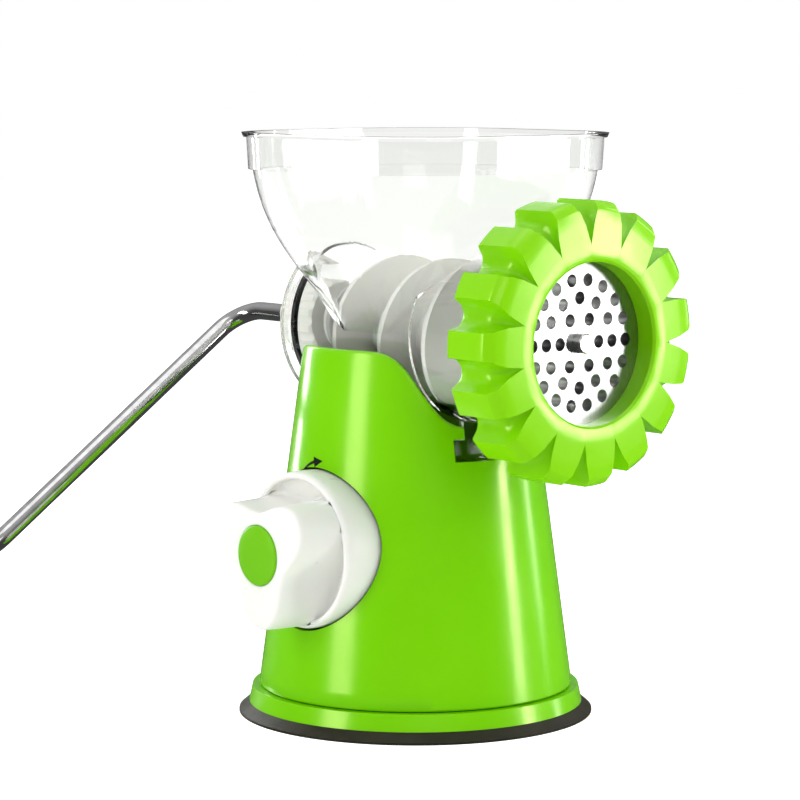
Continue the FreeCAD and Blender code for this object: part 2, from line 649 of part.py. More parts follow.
def auger_shaft():
    """A steel shaft: round in the hub and screw, square for the blade, a thin pin at the plate."""
    shaft = on_barrel_line(body("auger_shaft"))
    revolve(shaft, "shaft_turned", [
        ("0", "-shaft_rear"), ("shaft_radius", "-shaft_rear"), ("shaft_radius", "square_end"),
        ("pin_radius", "square_end"), ("pin_radius", "pin_end - 0.5"), ("pin_radius - 0.5", "pin_end"),
        ("0", "pin_end")])
    flat = [("square_side / 2", "-shaft_radius - 1"), ("shaft_radius + 1", "-shaft_radius - 1"),
            ("shaft_radius + 1", "shaft_radius + 1"), ("square_side / 2", "shaft_radius + 1")]
    outline = polygon(shaft, "flat_outline", flat, "XY_Plane", "square_start")
    polar(shaft, "flats", pocket(shaft, "flat", outline, "square_end - square_start"), "4")


def auger():
    screw = on_barrel_line(body("auger"))
    revolve(screw, "core_turned", [
        ("shaft_radius + 0.01", "-auger_rear"), ("auger_core + 2", "-auger_rear"),
        ("auger_core + 2", "-auger_rear + 2"), ("auger_core", "-auger_rear + 5"),
        ("auger_core", "auger_front"), ("shaft_radius + 0.01", "auger_front")])
    start = "-auger_rear + 3"
    profile = polygon(screw, "flight_outline", [
        ("auger_core - 1", start), ("auger_radius", start + " + 1"),
        ("auger_radius", start + " + flight_thick - 1"), ("auger_core - 1", start + " + flight_thick + 1")])
    flight = screw.newObject("PartDesign::AdditiveHelix", "flight")
    flight.Profile = (profile, [""])
    flight.ReferenceAxis = (profile, ["V_Axis"])
    flight.Mode = 0
    flight.LeftHanded = True
    bind(flight, Pitch="auger_pitch", Height="auger_front + auger_rear - flight_thick - 6")
    doc.recompute()


def cross_blade():
    """Four cutting wings against the plate, turned by the shaft's square."""
    hub = cylinder("blade_hub", "shaft_radius + 3.5", "blade_end - blade_start")
    wings = []
    for index in range(4):
        wing = doc.addObject("Part::Box", "blade_wing_%d" % index)
        wing.Placement = FreeCAD.Placement(Vector(0, 0, 0), FreeCAD.Rotation(Vector(0, 0, 1), 90 * index))
        bind(wing, Length="blade_radius - 3.4", Width="8", Height="blade_end - blade_start - 3",
             Placement__Base__x="3.4 * cos(%d) + 4 * sin(%d)" % (90 * index, 90 * index),
             Placement__Base__y="3.4 * sin(%d) - 4 * cos(%d)" % (90 * index, 90 * index),
             Placement__Base__z="3")
        wings.append(wing)
    disc = cylinder("blade_limit", "blade_radius", "blade_end - blade_start")
    outline = common("blade_trimmed", [fuse("blade_solid", [hub] + wings), disc])
    square = block("blade_square", ("-square_side / 2 - 0.02", "-square_side / 2 - 0.02", "-1"),
                   ("square_side / 2 + 0.02", "square_side / 2 + 0.02", "20"))
    blade = on_barrel_line(node(cut("cross_blade", outline, [square]), "cross_blade"))
    bind(blade, Placement__Base__y="-blade_start")


def hole_plate():
    plate = on_barrel_line(body("hole_plate"))
    back = DISC_FRONT + " - disc_thick"
    revolve(plate, "disc_turned", [
        ("pin_radius + run_gap", back), ("disc_radius", back), ("disc_radius", DISC_FRONT),
        ("pin_radius + run_gap", DISC_FRONT)])
    for ring, count in enumerate((18, 12, 6)):
        radius = "nut_opening - hole_pitch * %d" % (ring + 1)
        outline = circle(plate, "ring_outline_%d" % ring, "hole_radius", radius, offset=back + " - 0.5")
        polar(plate, "ring_holes_%d" % ring,
              pocket(plate, "ring_hole_%d" % ring, outline, "disc_thick + 1"), "%d" % count)


def ring_nut():
    """Holds the plate in the barrel's mouth. Valleys between the teeth deepen towards the rear."""
    blank = doc.addObject("PartDesign::Body", "nut_blank")
    revolve(blank, "nut_turned", [
        ("thread_radius + 0.3", "nut_rear"), ("nut_radius - 1", "nut_rear"), ("nut_radius", "nut_rear + 1"),
        ("nut_radius", "nut_front - nut_bevel"), ("nut_radius - nut_bevel", "nut_front"),
        ("nut_opening + 1", "nut_front"), ("nut_opening", "nut_front - 1"),
        ("nut_opening", DISC_FRONT + " + 0.1"), ("thread_radius + 0.3", DISC_FRONT + " + 0.1")])
    tools = []
    count = int(size("teeth"))
    reach = "nut_radius + 0.4 - (nut_front - nut_rear) * tan(valley_tilt) / 2"
    for index in range(count):
        turn = (index + 0.5) * 360.0 / count + 90 + 8
        tool = doc.addObject("Part::Cylinder", "valley_%d" % index)
        tilt = FreeCAD.Rotation(Vector(0, 1, 0), size("valley_tilt"))
        tool.Placement = FreeCAD.Placement(Vector(0, 0, 0), FreeCAD.Rotation(Vector(0, 0, 1), turn) * tilt)
        bind(tool, Radius="valley_radius", Height="nut_front - nut_rear + 16",
             Placement__Base__x="(%s) * cos(%.3f)" % (reach, turn),
             Placement__Base__y="(%s) * sin(%.3f)" % (reach, turn), Placement__Base__z="nut_rear - 6")
        tools.append(tool)
    node(on_barrel_line(cut("ring_nut", blank, tools)), "ring_nut")


def crank_hub():
    hub = on_barrel_line(body("crank_hub"))
    revolve(hub, "hub_turned", [
        ("shaft_radius + 0.01", "-shaft_rear - 0.02"), ("rod_radius + 0.01", "-shaft_rear - 0.02"),
        ("rod_radius + 0.01", "-hub_rear"), ("hub_radius - 3", "-hub_rear"), ("hub_radius", "-hub_rear + 3"),
        ("hub_radius", "-hub_front - 1"), ("hub_radius - 1", "-hub_front"),
        ("shaft_radius + 0.01", "-hub_front")])
    flute = circle(hub, "flute_outline", "flute_radius", "hub_radius + flute_radius * 0.5",
                   offset="-hub_rear - 1")
    polar(hub, "flutes", pocket(hub, "flute", flute, "hub_rear - hub_front + 2"), "16")
    hole = circle(hub, "grub_outline", "screw_radius + 0.3", "0", "-(hub_front + 8)", "XZ_Plane")
    pocket(hub, "grub_hole", hole, "hub_radius + 2", upwards=False)


def hub_screw():
    """A grub screw that locks the hub on the shaft."""
    screw = doc.addObject("Part::Cylinder", "hub_screw")
    bind(screw, Radius="screw_radius + 0.28", Height="hub_radius - shaft_radius - 3",
         Placement__Base__y="hub_front + 8", Placement__Base__z="axis_height + shaft_radius + 0.02")
    node(screw, "hub_screw")


def rod_path():
    """Straight runs and tangent bends, from the hub to the far end of the grip."""
    axis = size("axis_height")
    drop = math.radians(size("arm_drop"))
    away = Vector(-math.cos(drop), 0, -math.sin(drop))
    back = Vector(0, 1, 0)
    bend = size("bend_radius")
    first = Vector(0, size("arm_offset"), axis)
    second = first + away * size("arm_length")
    start = Vector(0, size("shaft_rear") + 0.05, axis)
    finish = second + back * (size("grip_start") + size("grip_length") - 5 - size("arm_offset"))
    edges = []
    here = start
    for corner, came, goes in ((first, back, away), (second, away, back)):
        enter = corner - came * bend
        leave = corner + goes * bend
        centre = corner - came * bend + goes * bend
        middle = centre + (corner - centre).normalize() * bend
        edges.append(Part.LineSegment(here, enter).toShape())
        edges.append(Part.Arc(enter, middle, leave).toShape())
        here = leave
    edges.append(Part.LineSegment(here, finish).toShape())
    return Part.Wire(edges), start


def crank_rod():
    path, start = rod_path()
    section = Part.Wire([Part.Circle(start, Vector(0, 1, 0), size("rod_radius")).toShape().Edges[0]])
    rod = path.makePipeShell([section], True, False, 1)
    node(shape_node("crank_rod", rod), "crank_rod")


def on_grip_line(thing):
    """Local Z points to the rear along the grip."""
    thing.Placement = FreeCAD.Placement(Vector(0, 0, 0), FreeCAD.Rotation(Vector(1, 0, 0), -90))
    bind(thing, Placement__Base__x="-arm_length * cos(arm_drop)",
         Placement__Base__z="axis_height - arm_length * sin(arm_drop)")
    return thing


def crank_grip():
    grip = on_grip_line(body("crank_grip"))
    tail = "grip_start + grip_length"
    bore = "rod_radius + run_gap"
    revolve(grip, "grip_turned", [
        (bore, "grip_start"), ("grip_neck - 1", "grip_start"), ("grip_neck", "grip_start + 1"),
        ("grip_neck + 0.6", "grip_start + 10"), ("grip_radius - 0.6", "grip_start + grip_length * 0.4"),
        ("grip_radius", "grip_start + grip_length * 0.6"), ("grip_radius - 0.8", tail + " - 9"),
        ("grip_radius - 3", tail + " - 2.5"), ("rod_radius + 4.2", tail + " - 2.5"),
        ("rod_radius + 4.2", tail + " - 9"), (bore, tail + " - 9")])


def grip_retainer():
    """A push-on nut that keeps the grip on the rod."""
    ring = on_grip_line(body("grip_retainer"))
    tail = "grip_start + grip_length"
    revolve(ring, "retainer_turned", [
        ("rod_radius + 0.005", tail + " - 8.6"), ("rod_radius + 3.6", tail + " - 8.6"),
        ("rod_radius + 3.6", tail + " - 7.2"), ("rod_radius + 0.005", tail + " - 7.2")])


def grip_cap():
    cap = on_grip_line(body("grip_cap"))
    tail = "grip_start + grip_length"
    revolve(cap, "grip_cap_turned", [
        ("0", tail + " - 4.6"), ("rod_radius + 4.15", tail + " - 4.6"),
        ("rod_radius + 4.15", tail + " - 2.5"), ("grip_radius - 3", tail + " - 2.5"),
        ("grip_radius - 5", tail + " - 0.6"), ("0", tail)])


base_tower()
base_band()
base_floor()
screws("floor_screws", [("screw_circle * cos(%d)" % turn, "screw_circle * sin(%d)" % turn)
                        for turn in (45, 135, 225, 315)], "ledge_low", FLOOR_TOP + " + 9")
suction_cup()
pressure_plate()
stem_nut()
suction_stem()
stem_spring()
cam_bracket()
screws("bracket_screws", [("-bracket_reach", "-bracket_screw"), ("-bracket_reach", "bracket_screw")],
       "ledge_high", FLOOR_TOP + " + 5")
shaft_bush()
cam_shaft()
shaft_clip()
suction_knob()
knob_cap()
knob_screw()
grinder_housing()
rear_bush()
seal_washer()
auger_shaft()
auger()
cross_blade()
hole_plate()
ring_nut()
crank_hub()
hub_screw()
crank_rod()
crank_grip()
grip_retainer()
grip_cap()
doc.recompute()

for item in doc.Objects:
    if "Invalid" in item.State or "Error" in item.State:
        raise ValueError("%s failed: %s" % (item.Label, item.State))
for item in NODES:
    if item.Shape.isNull() or not item.Shape.isValid():
        raise ValueError("%s has no sound shape" % item.Label)
os.makedirs("parts", exist_ok=True)
for item in NODES:
    item.Shape.exportStep("parts/%s.step" % item.Label)
    print(item.Label, len(item.Shape.Solids), round(item.Shape.Volume, 1))
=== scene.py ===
import bpy
import bmesh
import json
import math
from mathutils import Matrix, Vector


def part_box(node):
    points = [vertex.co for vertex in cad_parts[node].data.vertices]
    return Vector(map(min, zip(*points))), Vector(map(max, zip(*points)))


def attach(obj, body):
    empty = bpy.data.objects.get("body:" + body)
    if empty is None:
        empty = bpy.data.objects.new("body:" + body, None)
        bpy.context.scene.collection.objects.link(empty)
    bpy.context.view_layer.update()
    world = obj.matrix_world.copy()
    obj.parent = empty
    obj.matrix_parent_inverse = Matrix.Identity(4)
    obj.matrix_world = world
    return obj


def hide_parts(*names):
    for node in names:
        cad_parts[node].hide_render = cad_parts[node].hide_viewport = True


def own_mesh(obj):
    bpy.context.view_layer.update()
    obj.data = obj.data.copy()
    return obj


# Hand crank meat grinder: the looks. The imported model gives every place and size. Lengths in metres.

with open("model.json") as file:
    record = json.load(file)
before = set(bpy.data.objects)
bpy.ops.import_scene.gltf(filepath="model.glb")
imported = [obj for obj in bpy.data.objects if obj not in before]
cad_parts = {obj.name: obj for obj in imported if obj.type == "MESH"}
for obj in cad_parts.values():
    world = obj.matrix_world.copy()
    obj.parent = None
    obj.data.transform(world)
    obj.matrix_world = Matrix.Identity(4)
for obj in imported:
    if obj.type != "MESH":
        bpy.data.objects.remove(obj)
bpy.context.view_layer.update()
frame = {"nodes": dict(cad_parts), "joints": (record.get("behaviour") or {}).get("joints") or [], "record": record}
nodes = frame["nodes"]
joints = {joint["name"]: joint for joint in frame["joints"]}
MM = 0.001
AXIS = joints["crank_spin"]["pos_m"][2]
KNOB_Z = joints["knob_turn"]["pos_m"][2]


# ---- camera, floor and light -------------------------------------------------------------------

CAMERA_AZIMUTH = math.radians(40.67)
CAMERA_ELEVATION = math.radians(6.36)
CAMERA_DISTANCE = 1.1675
FIELD_OF_VIEW = 0.249381
TARGET_RIGHT = -0.00567
TARGET_HEIGHT = 0.11438
AIM_POINT = Vector((0, 0, 0.11))


def side_direction(turn_left):
    """A level direction that many degrees to the left of the camera, seen from the object."""
    turn = CAMERA_AZIMUTH + math.radians(turn_left)
    return Vector((-math.sin(turn), -math.cos(turn), 0))


def make_camera():
    """A low three-quarter view from the knob's side."""
    level = side_direction(0)
    right = Vector((-level.y, level.x, 0))
    target = right * TARGET_RIGHT + Vector((0, 0, TARGET_HEIGHT))
    away = level * math.cos(CAMERA_ELEVATION) + Vector((0, 0, math.sin(CAMERA_ELEVATION)))
    data = bpy.data.cameras.new("camera")
    data.sensor_width = 36
    data.angle = FIELD_OF_VIEW
    camera = bpy.data.objects.new("camera", data)
    camera.location = target + away * CAMERA_DISTANCE
    camera.rotation_euler = (-away).to_track_quat("-Z", "Y").to_euler()
    bpy.context.scene.collection.objects.link(camera)
    bpy.context.scene.camera = camera


def softbox(name, turn_left, distance, height, width, tall, power):
    """A soft rectangular light that aims at the middle of the object."""
    data = bpy.data.lights.new(name, "AREA")
    data.shape = "RECTANGLE"
    data.size = width
    data.size_y = tall
    data.energy = power
    lamp = bpy.data.objects.new(name, data)
    place = side_direction(turn_left) * distance + Vector((0, 0, height))
    lamp.location = place
    aim = AIM_POINT - place
    lamp.rotation_euler = aim.to_track_quat("-Z", "Y").to_euler()
    lamp.visible_camera = False
    bpy.context.scene.collection.objects.link(lamp)


def make_lights():
    """Soft boxes, and surroundings that are plain white to look at and darker in reflections."""
    softbox("key_left", 56, 1.1, 0.30, 0.36, 1.1, 8.5)
    softbox("side_right", -82, 1.1, 0.30, 0.16, 1.1, 10)
    softbox("edge_right", -112, 1.1, 0.30, 0.10, 1.1, 3.0)
    softbox("strip_back", 136, 1.2, 0.25, 0.04, 0.9, 8)
    softbox("front_fill", -14, 1.8, 0.9, 0.9, 0.7, 3.4)
    softbox("top", 0, 0.02, 1.3, 1.1, 1.1, 5)
    world = bpy.data.worlds.new("studio")
    world.use_nodes = True
    tree = world.node_tree
    tree.nodes.clear()
    output = tree.nodes.new("ShaderNodeOutputWorld")
    mix = tree.nodes.new("ShaderNodeMixShader")
    rays = tree.nodes.new("ShaderNodeLightPath")
    seen = tree.nodes.new("ShaderNodeBackground")
    seen.inputs["Color"].default_value = (1, 1, 1, 1)
    seen.inputs["Strength"].default_value = 1.0
    lit = tree.nodes.new("ShaderNodeBackground")
    lit.inputs["Strength"].default_value = 1.0
    place = tree.nodes.new("ShaderNodeTexCoord")
    split = tree.nodes.new("ShaderNodeSeparateXYZ")
    ramp = tree.nodes.new("ShaderNodeValToRGB")
    ramp.color_ramp.elements[0].position = 0.42
    ramp.color_ramp.elements[0].color = (0.5, 0.5, 0.5, 1)
    ramp.color_ramp.elements[1].position = 0.85
    ramp.color_ramp.elements[1].color = (0.7, 0.7, 0.7, 1)
    middle = ramp.color_ramp.elements.new(0.52)
    middle.color = (0.06, 0.06, 0.055, 1)
    stretch = tree.nodes.new("ShaderNodeMath")
    stretch.operation = "MULTIPLY_ADD"
    stretch.inputs[1].default_value = 0.5
    stretch.inputs[2].default_value = 0.5
    link = tree.links.new
    link(place.outputs["Generated"], split.inputs[0])
    link(split.outputs["Z"], stretch.inputs[0])
    link(stretch.outputs[0], ramp.inputs["Fac"])
    link(ramp.outputs["Color"], lit.inputs["Color"])
    straight = tree.nodes.new("ShaderNodeMath")
    straight.operation = "MAXIMUM"
    link(rays.outputs["Is Camera Ray"], straight.inputs[0])
    link(rays.outputs["Is Transmission Ray"], straight.inputs[1])
    link(straight.outputs[0], mix.inputs[0])
    link(lit.outputs[0], mix.inputs[1])
    link(seen.outputs[0], mix.inputs[2])
    link(mix.outputs[0], output.inputs["Surface"])
    bpy.context.scene.world = world
    bpy.context.scene.view_settings.view_transform = "Standard"


# ---- materials ---------------------------------------------------------------------------------

def new_material(name):
    """A material with its node tree and its shader."""
    material = bpy.data.materials.new(name)
    material.use_nodes = True
    tree = material.node_tree
    return material, tree, tree.nodes["Principled BSDF"]


def noise(tree, scale, detail=2.0, stretch=(1, 1, 1)):
    """Noise by the piece's own place in metres, so that it stays with the surface."""
    place = tree.nodes.new("ShaderNodeTexCoord")
    mapping = tree.nodes.new("ShaderNodeMapping")
    mapping.inputs["Scale"].default_value = stretch
    texture = tree.nodes.new("ShaderNodeTexNoise")
    texture.inputs["Scale"].default_value = scale
    texture.inputs["Detail"].default_value = detail
    tree.links.new(place.outputs["Object"], mapping.inputs["Vector"])
    tree.links.new(mapping.outputs["Vector"], texture.inputs["Vector"])
    return texture.outputs["Fac"]


def ramp(tree, source, low, high, start=0.3, end=0.7):
    """Blends two colours by a value between start and end."""
    made = tree.nodes.new("ShaderNodeValToRGB")
    made.color_ramp.elements[0].position = start
    made.color_ramp.elements[1].position = end
    made.color_ramp.elements[0].color = low
    made.color_ramp.elements[1].color = high
    tree.links.new(source, made.inputs["Fac"])
    return made.outputs["Color"]


def grey(level):
    return (level, level, level, 1)


def bump(tree, shader, source, strength, distance):
    made = tree.nodes.new("ShaderNodeBump")
    made.inputs["Strength"].default_value = strength
    made.inputs["Distance"].default_value = distance
    tree.links.new(source, made.inputs["Height"])
    tree.links.new(made.outputs["Normal"], shader.inputs["Normal"])


def plastic(name, dark, light, roughness, specular=0.5, subsurface=0.0, tint=(1, 1, 1, 1)):
    """Moulded plastic: faint flow variation in colour, uneven gloss and a fine orange peel."""
    material, tree, shader = new_material(name)
    colour = ramp(tree, noise(tree, 14, 3), dark, light)
    tree.links.new(colour, shader.inputs["Base Color"])
    gloss = ramp(tree, noise(tree, 60, 4), grey(roughness - 0.03), grey(roughness + 0.04))
    tree.links.new(gloss, shader.inputs["Roughness"])
    shader.inputs["IOR"].default_value = 1.49
    shader.inputs["Specular IOR Level"].default_value = specular
    shader.inputs["Specular Tint"].default_value = tint
    shader.inputs["Subsurface Weight"].default_value = subsurface
    shader.inputs["Subsurface Scale"].default_value = 0.003
    bump(tree, shader, noise(tree, 220, 2), 0.35, 0.00006)
    return material


def steel(name, low, high, roughness, stretch=(1, 1, 1), scale=300, depth=0.00003):
    """Bare or plated steel with fine drawn or ground marks along one direction."""
    material, tree, shader = new_material(name)
    shader.inputs["Metallic"].default_value = 1.0
    marks = noise(tree, scale, 3, stretch)
    tree.links.new(ramp(tree, marks, grey(low), grey(high)), shader.inputs["Base Color"])
    gloss = ramp(tree, noise(tree, 90, 3), grey(roughness - 0.04), grey(roughness + 0.07))
    tree.links.new(gloss, shader.inputs["Roughness"])
    bump(tree, shader, marks, 0.3, depth)
    return material


def clear_plastic():
    """Clear injection-moulded polystyrene: a faint grey-green body and slightly wavy walls."""
    material, tree, shader = new_material("clear_plastic_look")
    shader.inputs["Base Color"].default_value = (0.925, 0.935, 0.915, 1)
    shader.inputs["Transmission Weight"].default_value = 1.0
    shader.inputs["IOR"].default_value = 1.42
    gloss = ramp(tree, noise(tree, 40, 3), grey(0.02), grey(0.06))
    tree.links.new(gloss, shader.inputs["Roughness"])
    bump(tree, shader, noise(tree, 24, 2), 0.12, 0.0006)
    return material


def rubber():
    material, tree, shader = new_material("rubber_look")
    colour = ramp(tree, noise(tree, 50, 4), (0.010, 0.009, 0.003, 1), (0.018, 0.016, 0.006, 1))
    tree.links.new(colour, shader.inputs["Base Color"])
    gloss = ramp(tree, noise(tree, 120, 4), grey(0.42), grey(0.6))
    tree.links.new(gloss, shader.inputs["Roughness"])
    shader.inputs["Specular IOR Level"].default_value = 0.25
    bump(tree, shader, noise(tree, 900, 3), 0.4, 0.00008)
    return material


def floor_material():
    """Plain white to look at, even through the clear plastic, but dimmer as a light and in gloss."""
    material, tree, shader = new_material("floor_look")
    colour = ramp(tree, noise(tree, 3, 2), grey(0.92), grey(0.94))
    tree.links.new(colour, shader.inputs["Base Color"])
    shader.inputs["Roughness"].default_value = 0.6
    shader.inputs["Emission Color"].default_value = (1, 1, 1, 1)
    straight = tree.nodes.new("ShaderNodeMath")
    straight.operation = "MAXIMUM"
    strength = tree.nodes.new("ShaderNodeMath")
    strength.operation = "MULTIPLY_ADD"
    strength.inputs[1].default_value = 0.5
    strength.inputs[2].default_value = 0.14
    tree.links.new(straight.outputs[0], strength.inputs[0])
    tree.links.new(strength.outputs[0], shader.inputs["Emission Strength"])
    dim = tree.nodes.new("ShaderNodeEmission")
    dim.inputs["Color"].default_value = grey(0.1)
    rays = tree.nodes.new("ShaderNodeLightPath")
    tree.links.new(rays.outputs["Is Camera Ray"], straight.inputs[0])
    tree.links.new(rays.outputs["Is Transmission Ray"], straight.inputs[1])
    mirrored = tree.nodes.new("ShaderNodeMath")
    mirrored.operation = "SUBTRACT"
    mirrored.use_clamp = True
    tree.links.new(rays.outputs["Is Glossy Ray"], mirrored.inputs[0])
    tree.links.new(rays.outputs["Is Transmission Ray"], mirrored.inputs[1])
    mix = tree.nodes.new("ShaderNodeMixShader")
    tree.links.new(mirrored.outputs[0], mix.inputs[0])
    tree.links.new(shader.outputs[0], mix.inputs[1])
    tree.links.new(dim.outputs[0], mix.inputs[2])
    tree.links.new(mix.outputs[0], tree.nodes["Material Output"].inputs["Surface"])
    return material


YELLOWED = (1.0, 1.0, 0.45, 1)
GREEN = plastic("green_look", (0.152, 0.530, 0.000, 1), (0.175, 0.570, 0.001, 1), 0.2, 0.6,
                tint=YELLOWED)
GREEN_NUT = plastic("green_nut_look", (0.190, 0.560, 0.001, 1), (0.212, 0.600, 0.002, 1), 0.2, 0.6,
                    tint=YELLOWED)
GREEN_CAP = plastic("green_cap_look", (0.130, 0.440, 0.001, 1), (0.145, 0.470, 0.002, 1), 0.4, 0.2)
WHITE = plastic("white_look", (0.76, 0.76, 0.72, 1), (0.80, 0.80, 0.77, 1), 0.3, 0.25, 0.1)
INNER = plastic("inner_look", (0.62, 0.62, 0.60, 1), (0.70, 0.70, 0.68, 1), 0.45)
CLEAR = clear_plastic()
RUBBER = rubber()
SEAL = plastic("seal_look", (0.36, 0.36, 0.35, 1), (0.44, 0.44, 0.42, 1), 0.6)
ROD = steel("rod_look", 0.40, 0.50, 0.10, (1, 0.15, 1))
SHAFT = steel("shaft_look", 0.55, 0.72, 0.25, (1, 6, 1))
BLADE = steel("blade_look", 0.36, 0.48, 0.30, (6, 1, 1))
SCREW = steel("screw_look", 0.48, 0.62, 0.3)
SPRING = steel("spring_look", 0.36, 0.5, 0.32)
INK = plastic("ink_look", (0.006, 0.007, 0.004, 1), (0.010, 0.011, 0.007, 1), 0.5, 0.1)

SLOT_LOOKS = {
    "green_plastic": GREEN, "green_band_plastic": GREEN, "green_nut_plastic": GREEN_NUT,
    "green_cap_plastic": GREEN_CAP, "white_plastic": WHITE, "inner_plastic": INNER,
    "clear_plastic": CLEAR, "foot_rubber": RUBBER, "seal_rubber": SEAL, "screw_steel": SCREW,
    "spring_steel": SPRING, "shaft_steel": SHAFT, "blade_steel": BLADE, "rod_steel": ROD,
}


def dress_nodes():
    """Each CAD node gets the look of its material slot."""
    for part in frame["record"]["subparts"]:
        mesh = nodes[part["node"]].data
        mesh.materials.clear()
        mesh.materials.append(SLOT_LOOKS[part["material_slot"]])


# ---- mesh helpers ------------------------------------------------------------------------------

def grid_mesh(name, rows, closed_rows=False, cap_start=False, cap_end=False):
    """A mesh through rings of points. Every ring has the same number and closes on itself."""
    mesh = bpy.data.meshes.new(name)
    made = bmesh.new()
    rings = [[made.verts.new(point) for point in row] for row in rows]
    count = len(rows[0])
    last = len(rings) if closed_rows else len(rings) - 1
    for index in range(last):
        ring, following = rings[index], rings[(index + 1) % len(rings)]
        for step in range(count):
            after = (step + 1) % count
            made.faces.new((ring[step], ring[after], following[after], following[step]))
    if cap_start:
        made.faces.new(rings[0][::-1])
    if cap_end:
        made.faces.new(rings[-1])
    bmesh.ops.remove_doubles(made, verts=made.verts, dist=1e-7)
    bmesh.ops.recalc_face_normals(made, faces=made.faces)
    made.to_mesh(mesh)
    made.free()
    return mesh


def piece_from(name, mesh, material, body, slot, *replaced, angle=32):
    """Links a mesh as a piece with its look, smooth except at real edges."""
    piece = bpy.data.objects.new(name, mesh)
    bpy.context.scene.collection.objects.link(piece)
    mesh.materials.clear()
    mesh.materials.append(material)
    mesh.shade_smooth()
    mesh.set_sharp_from_angle(angle=math.radians(angle))
    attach(piece, body)
    if replaced:
        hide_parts(*replaced)
    return piece


def bevel(piece, width, segments=2, angle=30):
    """Small rounded edges, with even shading across the flats."""
    modifier = piece.modifiers.new("edges", "BEVEL")
    modifier.width = width
    modifier.segments = segments
    modifier.limit_method = "ANGLE"
    modifier.angle_limit = math.radians(angle)
    modifier.harden_normals = True


def apply_modifiers(piece):
    """Leaves the piece with the mesh that its modifiers make."""
    graph = bpy.context.evaluated_depsgraph_get()
    mesh = bpy.data.meshes.new_from_object(piece.evaluated_get(graph))
    piece.modifiers.clear()
    piece.data = mesh


def carve(piece, tool_mesh):
    """Cuts a closed mesh out of a piece and applies the result."""
    tool = bpy.data.objects.new("tool", tool_mesh)
    bpy.context.scene.collection.objects.link(tool)
    modifier = piece.modifiers.new("carve", "BOOLEAN")
    modifier.operation = "DIFFERENCE"
    modifier.solver = "EXACT"
    modifier.object = tool
    apply_modifiers(piece)
    bpy.data.objects.remove(tool)


def outlet_point(radius, turn, reach):
    """A point about the barrel's line: reach is the distance towards the outlet, -Y."""
    return (radius * math.cos(turn), -reach, AXIS + radius * math.sin(turn))


# ---- ring nut ----------------------------------------------------------------------------------

TEETH = 15
TOOTH_TURN = math.radians(8)
NUT_OPENING = 28.4 * MM
NUT_BORE = 35.7 * MM
NUT_SEAT_DEPTH = 8.2 * MM


def make_ring_nut():
    """Flat-topped teeth with round valleys that run out in points on the front face."""
    low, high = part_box("ring_nut")
    rear, front = -high[1], -low[1]
    outer = (high[2] - low[2]) / 2
    length = front - rear
    opening = NUT_OPENING
    inside = NUT_BORE
    seat = front - NUT_SEAT_DEPTH
    # tooth radius and reach, valley radius and reach, half width of the tooth's top in pitches
    rows = [
        (outer - 0.9 * MM, rear, outer - 6.6 * MM, rear, 0.235),
        (outer, rear + 0.9 * MM, outer - 6.2 * MM, rear + 0.7 * MM, 0.225),
        (outer, rear + length * 0.30, outer - 6.0 * MM, rear + length * 0.25, 0.225),
        (outer, rear + length * 0.60, outer - 5.9 * MM, rear + length * 0.48, 0.225),
        (outer, front - 3.9 * MM, outer - 6.1 * MM, front - 8.6 * MM, 0.225),
        (outer - 0.3 * MM, front - 3.3 * MM, outer - 6.8 * MM, front - 7.2 * MM, 0.23),
        (outer - 2.7 * MM, front - 1.1 * MM, outer - 9.0 * MM, front - 4.8 * MM, 0.26),
        (outer - 3.6 * MM, front - 0.7 * MM, outer - 10.4 * MM, front - 3.6 * MM, 0.29),
        (outer - 8.0 * MM, front - 0.4 * MM, outer - 12.4 * MM, front - 2.0 * MM, 0.38),
        (outer - 15.0 * MM, front - 0.15 * MM, outer - 15.2 * MM, front - 0.3 * MM, 0.498),
        (opening + 2.4 * MM, front, opening + 2.4 * MM, front, 0.499),
        (opening + 0.8 * MM, front - 0.25 * MM, opening + 0.8 * MM, front - 0.25 * MM, 0.499),
        (opening, front - 1.1 * MM, opening, front - 1.1 * MM, 0.499),
        (opening, seat, opening, seat, 0.499),
        (inside, seat, inside, seat, 0.499),
        (inside, rear, inside, rear, 0.4),
    ]
    top_steps, valley_steps = 4, 10
    rings = []
    for top_radius, top_reach, low_radius, low_reach, edge in rows:
        ring = []
        for tooth in range(TEETH):
            marks = [(-edge + 2 * edge * step / top_steps, 0.0) for step in range(top_steps + 1)]
            for step in range(1, valley_steps):
                share = step / valley_steps
                sunk = math.sqrt(max(0.0, 1 - (2 * share - 1) ** 2))
                marks.append((edge + (1 - 2 * edge) * share, sunk))
            for spot, sunk in marks:
                turn = (tooth + spot) * 2 * math.pi / TEETH + math.pi / 2 - TOOTH_TURN
                radius = top_radius + (low_radius - top_radius) * sunk
                reach = top_reach + (low_reach - top_reach) * sunk
                ring.append(outlet_point(radius, turn, reach))
        rings.append(ring)
    mesh = grid_mesh("ring_nut_mesh", rings, closed_rows=True)
    nut = piece_from("ring_nut_toothed", mesh, GREEN_NUT, "nut", "green_nut_plastic", "ring_nut", angle=28)
    bevel(nut, 0.45 * MM, 3, 32)


# ---- knob --------------------------------------------------------------------------------------

def lobe_radius(turn):
    """The handle's outline: three broad lobes with hollow sides."""
    swell = (1 + math.cos(3 * (turn - math.radians(27)))) / 2
    return (15.4 + 11.3 * swell ** 1.15) * MM


def knob_point(radius, turn, reach):
    """A point about the knob's line: reach is the distance out of the tower, -X."""
    return (-reach, radius * math.cos(turn), KNOB_Z + radius * math.sin(turn))


HANDLE_RISE = 17.9 * MM
CAP_SEAT = 10.9 * MM
SHAFT_BORE = 6.05 * MM


